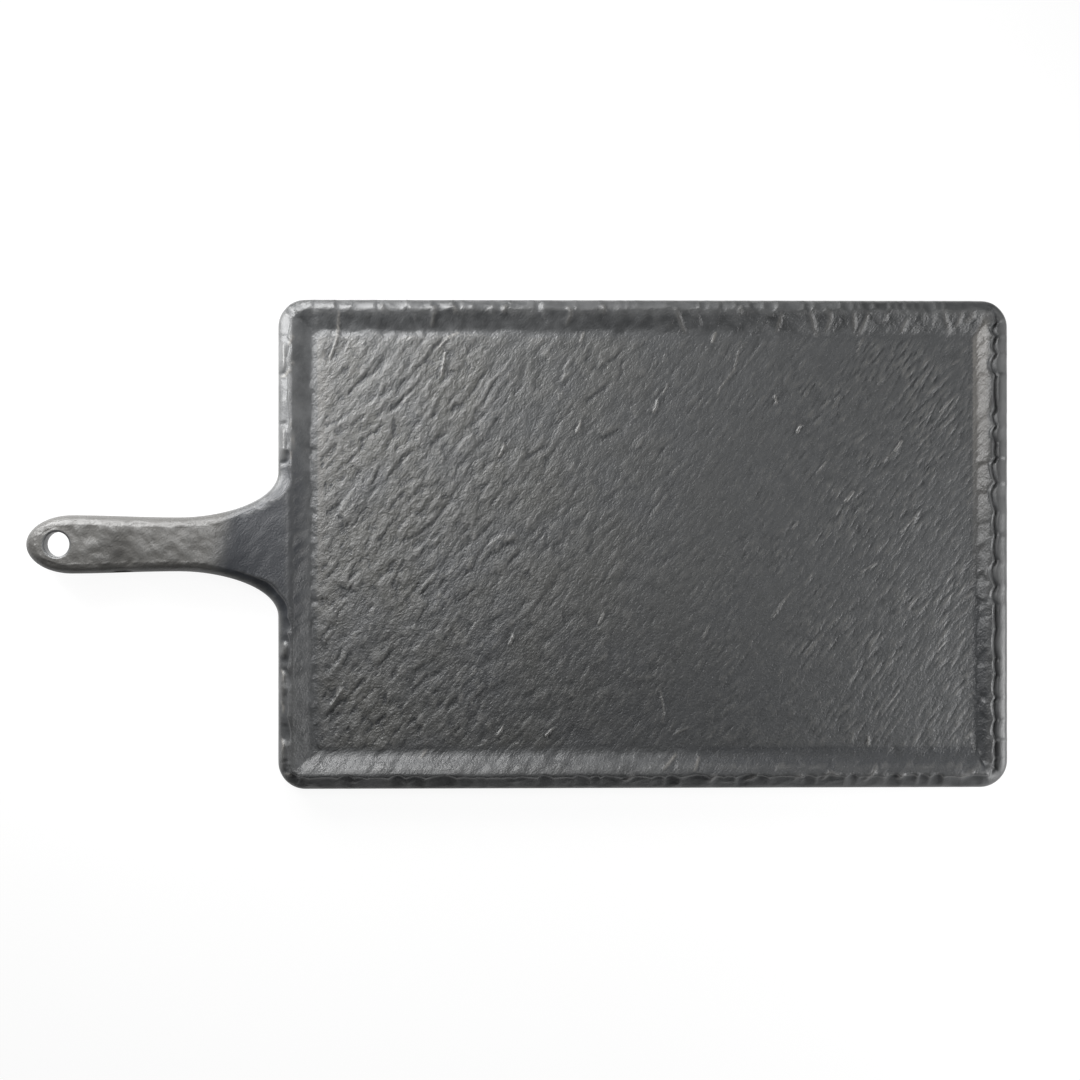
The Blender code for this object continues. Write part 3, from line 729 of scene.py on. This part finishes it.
levels = {"flake": 0.45, "dent": 0.62}  # of the pattern, above which a flake or a dent leaves no mark
sways = ((45 * mm, 9 * mm), (8 * mm, 3.6 * mm), (3 * mm, 1.3 * mm))  # wave and reach of the grain's wander
plateSets = ((1, 0), (0.5, 7.3))  # share of the full size, and a shift so that the two don't line up


def reliefTree(material):
    tree = bpy.data.node_groups.new("rivenRelief", "GeometryNodeTree")
    for way in ("INPUT", "OUTPUT"):
        tree.interface.new_socket("Geometry", in_out=way, socket_type="NodeSocketGeometry")
    for name in relief:
        tree.interface.new_socket(name, in_out="INPUT", socket_type="NodeSocketFloat")
    add = partial(addNode, tree)
    size = add("NodeGroupInput").outputs
    position, normal = add("GeometryNodeInputPosition"), add("GeometryNodeInputNormal")
    along, inset, edge, fall, ledge, grip, flare, top, climb, fold, plates, streak, raised = (
        add("GeometryNodeInputNamedAttribute", name=name) for name in (
            "along", "inset", "border", "fall", "ledge", "grip", "flare", "top", "climb", "fold",
            "plates", "streak", "lift"))

    def product(first, *others):
        for other in others:
            first = add("Math MULTIPLY", first, other)
        return first

    def faded(value, name, **reach):
        start, end = fades[name]
        return add("MapRange SMOOTHSTEP", value=value, fromMin=start, fromMax=end, **reach)

    def scaled(place, name):  # coordinates counted in lengths and widths of one kind of mark
        one = add("CombineXYZ", x=size[name + " length"], y=size[name + " width"], z=1)
        return add("VectorMath DIVIDE", place, one)

    def turnedBy(place, angle):
        return add("VectorRotate Z_AXIS", vector=place, angle=product(angle, -1))

    def wavy(place, name, detail, roughness):  # soft marks above and below 0
        noise = add("TexNoise 2D", vector=scaled(place, name), scale=1, detail=detail, roughness=roughness)
        return product(add("Math SUBTRACT", noise, 0.5), size[name + " height"])

    def leaning(spot, cells):  # each cell's own way to lean, and how far it has gone at this spot
        level = add("VectorMath SUBTRACT", cells.outputs["Color"], (0.5, 0.5, 0.5))
        local = add("VectorMath SUBTRACT", spot, cells.outputs["Position"])
        return level, add("VectorMath DOT_PRODUCT", local, level).outputs["Value"]

    def split(spot, name):  # cells that each have a level and lean of their own
        level, tilt = leaning(spot, add("TexVoronoi 2D", vector=spot, scale=1))
        tilt = product(tilt, size[name + " lean"])
        return add("Math MULTIPLY_ADD", add("SeparateXYZ", level).outputs["Z"], size[name + " step"], tilt)

    # grain coordinates: X runs with the ridges, Y across them, and both sway and jag a little
    turned = turnedBy(position, size["Grain angle"])
    runs = [turned]
    for wave, reach in sways:
        sway = add("TexNoise 4D", vector=position, scale=1 / wave, detail=1, w=size["Seed"])
        half = -reach / 2
        sway = add("VectorMath MULTIPLY_ADD", sway.outputs["Color"], (reach, reach, 0), (half, half, 0))
        runs.append(add("VectorMath ADD", runs[-1], sway))
    swayed, grain = runs[1], runs[-1]

    # two runs of fine wavy ridges that cross at a small angle
    height = None
    for run in (grain, turnedBy(grain, size["Cross angle"])):
        height = add("Math ADD", wavy(run, "Ridge", detail=3, roughness=0.6), height or 0.0)

    # split plates, each at its own level and leaning its own way
    for share, shift in plateSets:
        finer = (1 / share, 1 / share, 1)
        spot = add("VectorMath MULTIPLY_ADD", scaled(grain, "Plate"), finer, (shift, shift, 0))
        height = add("Math MULTIPLY_ADD", split(spot, "Plate"), share, height)
    height = product(height, plates)

    # long streaks of grain, strong in some patches and calm in others
    calm = add("TexNoise 4D", vector=swayed, scale=1 / patches["calm"], detail=1, w=patchSeeds["calm"])
    calm = faded(calm, "calm", toMin=0.55, toMax=1.4)
    streaks = product(wavy(swayed, "Streak", detail=3, roughness=0.6), calm)
    height = add("Math MULTIPLY_ADD", streaks, streak, height)

    # clefts: a layer ends in a steep step that faces down the board, then falls gently to the next
    across = add("SeparateXYZ", grain).outputs["Y"]
    share = add("Math FRACT", add("Math DIVIDE", across, size["Cleft spacing"]))
    saw = add("Math SUBTRACT", faded(share, "cleft"), share)
    patch = add("TexNoise 4D", vector=turned, scale=1 / patches["cleft"], detail=1, w=patchSeeds["cleft"])
    patch = faded(patch, "clefted", toMin=0.05, toMax=1)
    height = add("Math MULTIPLY_ADD", product(saw, patch), size["Cleft depth"], height)

    # the field's ragged border
    ragged = add("TexNoise 3D", vector=position, scale=1 / patches["ragged"], detail=2)
    ragged = add("Math MULTIPLY_ADD", add("Math SUBTRACT", ragged, 0.5), size["Ragged depth"], edge)
    border = add("Math SUBTRACT", ragged, size["Field start"])
    field = faded(border, "field")
    inner = faded(border, "inner")
    cover = product(field, add("MapRange", value=inner, toMin=0.4, toMax=1))
    height = product(height, add("Math MAXIMUM", cover, climb))
    lift = faded(border, "lift")
    lifted = add("CombineXYZ", z=add("Math ADD", height, product(lift, size["Field lift"], raised)))

    # knapped flakes round the ledge
    spot = scaled(add("CombineXYZ", x=along, y=inset), "Flake")
    flakes = add("TexVoronoi 2D", vector=spot, scale=1)
    scoop = add("Math SUBTRACT", add("Math POWER", flakes.outputs["Distance"], 2), levels["flake"])
    scoop = add("Math ADD", scoop, leaning(spot, flakes)[1])
    knapped = add("Math MINIMUM", product(scoop, size["Flake depth"]), 0)
    clear = faded(inset, "ledge")
    knapped = product(knapped, clear, ledge)

    # soft facets on the inner slope and the flare, and torn folds on the slope
    slope = faded(fall, "slope")
    slope = product(slope, add("Math SUBTRACT", 1, field))
    facets = wavy(turned, "Facet", detail=1, roughness=0.5)
    facets = product(facets, add("Math MULTIPLY_ADD", flare, 0.5, slope))
    facets = add("Math MULTIPLY_ADD", split(scaled(grain, "Fold"), "Fold"), fold, facets)

    # dents on the grip
    dents = add("TexNoise 3D", vector=position, scale=add("Math DIVIDE", 1, size["Dent size"]), detail=2)
    dents = add("Math MINIMUM", product(add("Math SUBTRACT", dents, levels["dent"]), size["Dent depth"]), 0)
    held = faded(inset, "grip")
    dents = product(dents, held, grip, top)

    push = add("Math ADD", add("Math ADD", knapped, facets), dents)
    offset = add("VectorMath ADD", add("VectorMath SCALE", normal, scale=push), lifted)
    shape = add("GeometryNodeSetPosition", geometry=size["Geometry"],
                offset=add("VectorMath SCALE", offset, scale=top))
    # how far each point stands out of its surroundings: above 0 for painted highlights on raised edges, below
    # 0 for painted shade in hollows
    around = add("GeometryNodeBlurAttribute FLOAT_VECTOR", value=position, iterations=8)
    proud = add("VectorMath SUBTRACT", position, around)
    proud = add("VectorMath DOT_PRODUCT", proud, normal).outputs["Value"]
    wear = add("Math DIVIDE", proud, size["Wear depth"])
    for name, value in (("field", field), ("inner", inner), ("wear", wear)):
        shape = add("GeometryNodeStoreNamedAttribute", geometry=shape, name=name, value=value)
    shape = add("GeometryNodeRealizeInstances", geometry=shape)
    add("NodeGroupOutput", geometry=add("GeometryNodeSetMaterial", geometry=shape, material=material))
    return tree


def shaped(thing, tree, sizes):  # run a tree on an object and keep the result as its plain mesh
    modifier = thing.modifiers.new(tree.name, "NODES")
    modifier.node_group = tree
    for item in tree.interface.items_tree:
        if item.in_out == "INPUT" and item.name in sizes:
            modifier[item.identifier] = sizes[item.name]
    evaluated = thing.evaluated_get(bpy.context.evaluated_depsgraph_get())
    mesh = bpy.data.meshes.new_from_object(evaluated)
    thing.modifiers.remove(modifier)
    thing.data = mesh


# melamine resin moulded in a slate-textured tool: charcoal grey, with painted shade in the hollows and painted
# highlights on raised edges, with a silky sheen that breaks up on the fine grain
finish = {
    # painted colours: shade for hollows and the flare, highlights for raised edges and flakes, warm light on
    # the grip, light on lit patches; the others are the resin's own tones
    "hollow": "#38393a", "body": "#494a4b", "rubbed": "#595958", "warm": "#4a4a48", "flare": "#2c2e32",
    "grip": "#4e4d4b", "bloom": "#716f6c", "cool": "#3e3f40", "pale": "#515253",
    "blotch": 9 * mm, "mottle": 30 * mm, "patch": 9 * mm, "roughness": (0.36, 0.46), "ior": 1.55,
    "grainLength": 1.5 * mm, "grainWidth": 0.9 * mm, "grainDepth": 0.3 * mm,
    "gripGrain": 0.4, "slopeGrain": 1.8, "crinkle": 2.2 * mm, "crinkleDepth": 0.35 * mm,
    "gritSize": 0.6 * mm, "gritDepth": 0.02 * mm,
}


def melamineFinish():
    material, tree, shader = newMaterial("moulded_melamine")
    add = partial(addNode, tree)
    place = add("TexCoord").outputs["Object"]
    field, inner, grip, flare, wear, climb, bloom, plates = (
        add("Attribute " + name).outputs["Fac"]
        for name in ("field", "inner", "grip", "flare", "wear", "climb", "bloom", "plates"))
    colours = {name: linearColour(value) for name, value in finish.items() if str(value).startswith("#")}

    # fine grain, just coarse enough to show
    turned = add("VectorRotate Z_AXIS", vector=place, angle=-relief["Grain angle"])
    stretch = [1 / finish[name] for name in ("grainLength", "grainWidth", "grainWidth")]
    stretched = add("VectorMath MULTIPLY", turned, stretch)
    grain = add("TexNoise", vector=stretched, scale=1, detail=1, roughness=0.5, distortion=0.3)
    depth = add("Math MULTIPLY_ADD", grip, finish["gripGrain"], field)
    depth = add("Math MULTIPLY_ADD", climb, finish["slopeGrain"], depth)
    grain = add("Math MULTIPLY", grain, add("MapRange", value=depth, toMin=0.35, toMax=1))
    grit = add("TexNoise", vector=place, scale=1 / finish["gritSize"], detail=1)
    riven = add("Math MULTIPLY", plates, inner)  # split plates are crinkled too
    crinkle = add("TexNoise", vector=place, scale=1 / finish["crinkle"], detail=2, roughness=0.55,
                  distortion=0.5)
    crinkle = add("Math MULTIPLY", crinkle, riven)
    bump = add("Bump", height=crinkle, strength=1, distance=finish["crinkleDepth"])
    for height, depth in ((grain, "grainDepth"), (grit, "gritDepth")):
        bump = add("Bump", height=height, strength=1, distance=finish[depth], normal=bump)

    # colour from warm and cool clouds, then painted light and shade
    clouds, blotch, patch = (add("TexNoise", vector=place, scale=1 / finish[name], detail=3)
                             for name in ("mottle", "blotch", "patch"))
    clouds, blotch = (add("MapRange", value=noise, fromMin=0.35, fromMax=0.65) for noise in (clouds, blotch))
    colour = add("Mix RGBA", factor=blotch, a=colours["cool"], b=colours["pale"])
    clouds = add("Math MULTIPLY", clouds, riven)
    # layers: the field's own tone, warm clouds, painted shade on the flare and in patches, painted warm light
    # on the grip, painted light and glints
    layers = {"body": field, "warm": clouds, "flare": flare, "grip": grip, "bloom": bloom}
    for name, share in layers.items():
        colour = add("Mix RGBA", factor=share, a=colour, b=colours[name])
    colour.clamp_factor = False  # the brightest painted glints go past the painted light's own colour
    # painted highlights on raised edges, painted shade in hollows
    rubbed = add("Math MULTIPLY", add("MapRange", value=wear, fromMin=0.1, fromMax=1.2),
                 add("MapRange", value=inner, toMin=0.25, toMax=1))
    hollow = add("Math MULTIPLY", add("MapRange", value=wear, fromMin=-0.1, fromMax=-1.2), inner)
    for share, name in ((rubbed, "rubbed"), (hollow, "hollow")):
        colour = add("Mix RGBA", factor=share, a=colour, b=colours[name])
    low, high = finish["roughness"]
    sheen = add("MapRange", value=patch, fromMin=0.3, fromMax=0.7, toMin=low, toMax=high)
    fill(tree, shader, normal=bump, baseColor=colour, roughness=sheen, ior=finish["ior"])
    return material


melamine = melamineFinish()
shaped(board, reliefTree(melamine), relief)
print("board riven:", len(board.data.polygons), "faces")
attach(board, "root")
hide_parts("paddle_board")

# feet: turned silicone bumpers, each stuck in its pocket with a disc of adhesive
foot = {
    "edgeRound": 1.0 * mm, "topRound": 0.3 * mm, "flatRing": 2.5 * mm, "roundRows": 8,
    "colours": ("#1b1b1c", "#2b2b2b"), "cloud": 2.5 * mm, "roughness": (0.55, 0.72), "ior": 1.41,
    "skin": 0.5 * mm, "skinDepth": 0.03 * mm,
}
tape = {
    "colours": ("#d6d1c4", "#c3bba6"), "cloud": 3 * mm, "roughness": (0.4, 0.55), "ior": 1.49,
    "skin": 0.8 * mm, "skinDepth": 0.02 * mm,
}


def stockFinish(name, sizes):  # two close colours in clouds, uneven gloss and a fine skin
    material, tree, shader = newMaterial(name)
    add = partial(addNode, tree)
    place = add("TexCoord").outputs["Object"]
    clouds = add("TexNoise", vector=place, scale=1 / sizes["cloud"], detail=3)
    clouds = add("MapRange", value=clouds, fromMin=0.35, fromMax=0.65)
    first, second = map(linearColour, sizes["colours"])
    low, high = sizes["roughness"]
    skin = add("TexNoise", vector=place, scale=1 / sizes["skin"], detail=2)
    fill(tree, shader, baseColor=add("Mix RGBA", factor=clouds, a=first, b=second),
         roughness=add("MapRange", value=clouds, toMin=low, toMax=high),
         normal=add("Bump", height=skin, strength=1, distance=sizes["skinDepth"]), ior=sizes["ior"])
    return material


def turnedFoot(corner):
    low, high, x, y, radius = footPlace(corner)
    turns = np.linspace(0, math.pi / 2, foot["roundRows"])
    edge, top, flat = foot["edgeRound"], foot["topRound"], foot["flatRing"]
    section = [(radius - edge - flat, low.z)]
    section += [(radius - edge * (1 - math.sin(a)), low.z + edge * (1 - math.cos(a))) for a in turns]
    section += [(radius - top * (1 - math.cos(a)), high.z - top * (1 - math.sin(a))) for a in turns]
    section += [(radius - top - flat, high.z)]
    shell = Shell()
    rows = [shell.add(circle(x, y, r), z) for r, z in section]
    shell.bands(rows)
    shell.cap(rows[0], x, y, low.z, -1)
    shell.cap(rows[-1], x, y, high.z, 1)
    piece = meshObject("silicone_foot_" + corner, np.concatenate(shell.places).tolist(), shell.faces)
    piece.data.shade_smooth()
    return piece


silicone = stockFinish("moulded_silicone", foot)  # near black and matt, with a grey bloom of dust
acrylic = stockFinish("acrylic_adhesive", tape)  # cloudy cream, a little shiny
for corner in corners:
    piece = turnedFoot(corner)
    piece.data.materials.append(silicone)
    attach(piece, "root")
    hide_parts("foot_" + corner)
    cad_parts["adhesive_" + corner].material_slots[0].material = acrylic
print("feet turned:", len(corners))

# stage: a white paper floor that stays white to the eye and in reflections, and takes a faint shadow
scene = bpy.context.scene
scene.view_settings.view_transform = "Standard"
stage = {
    "halfWidth": 3.0, "drop": 0.1 * mm, "glow": 0.92, "paper": "#606060", "worldGrey": 0.02,
    "aim": (0.05, 0, 0), "lens": 61.385, "sensor": 36,
    "cameraPlace": (-8.54 * mm, 1.75 * mm, 0.95), "cameraTurn": (0.024, -1.108, -0.017),  # degrees
}


def paperFinish():
    material, tree, shader = newMaterial("white_paper")
    add = partial(addNode, tree)
    ray = add("LightPath").outputs
    seen = add("Math MAXIMUM", ray["Is Camera Ray"], ray["Is Glossy Ray"])
    seen = add("Math MAXIMUM", seen, ray["Is Transmission Ray"])
    below = add("NewGeometry").outputs["Backfacing"]  # clear from below, and to the lamp there
    clear = add("Math MAXIMUM", below, ray["Is Shadow Ray"])
    fill(tree, shader, baseColor=linearColour(stage["paper"]), roughness=0.9, specularIorLevel=0.0,
         emissionColor=(1, 1, 1, 1), emissionStrength=add("Math MULTIPLY", seen, stage["glow"]),
         alpha=add("Math SUBTRACT", 1.0, clear))
    return material


world = bpy.data.worlds.new("studio")  # dim to the part, white to the eye and through glass
scene.world = world
world.use_nodes = True
sky = world.node_tree
ray = addNode(sky, "LightPath").outputs
seen = addNode(sky, "Math MAXIMUM", ray["Is Camera Ray"], ray["Is Transmission Ray"])
dim, white = ([stage[name]] * 3 + [1] for name in ("worldGrey", "glow"))
fill(sky, sky.nodes["Background"], color=addNode(sky, "Mix RGBA", factor=seen, a=dim, b=white))
reach = stage["halfWidth"]
floorCorners = [(x * reach, y * reach, -stage["drop"]) for x, y in ((-1, -1), (1, -1), (1, 1), (-1, 1))]
floor = meshObject("floor", floorCorners, [(0, 1, 2, 3)])
floor.data.materials.append(paperFinish())

lamps = {  # name: place, width in metres, watts
    "left": ((-0.3, 0.15, 0.12), 0.15, 1.2), "overLeft": ((-0.15, 0.1, 0.4), 0.15, 0.6),
    "back": ((-0.15, 0.3, 0.2), 0.15, 1.42), "farBack": ((0.1, 0.3, 0.15), 0.15, 0.15),
    "overRight": ((0.4, -0.1, 0.3), 0.15, 0.2), "right": ((0.45, -0.1, 0.15), 0.15, 0.65),
    "nearRight": ((0.42, -0.25, 0.12), 0.15, 0.42), "farRight": ((0.36, 0.1, 0.1), 0.15, 0.12),
    "under": ((-0.45, 0.3, -0.7), 0.6, 9.0),
}
for name, (place, width, watts) in lamps.items():
    lamp = bpy.data.lights.new(name, "AREA")
    lamp.size, lamp.energy = width, watts
    box = bpy.data.objects.new(name, lamp)
    box.location = place
    box.rotation_euler = (Vector(stage["aim"]) - box.location).to_track_quat("-Z", "Y").to_euler()
    box.visible_camera = False
    scene.collection.objects.link(box)

cameraData = bpy.data.cameras.new("camera")
cameraData.lens, cameraData.sensor_width = stage["lens"], stage["sensor"]
camera = bpy.data.objects.new("camera", cameraData)
camera.location = stage["cameraPlace"]
camera.rotation_euler = [math.radians(a) for a in stage["cameraTurn"]]
scene.collection.objects.link(camera)
scene.camera = camera
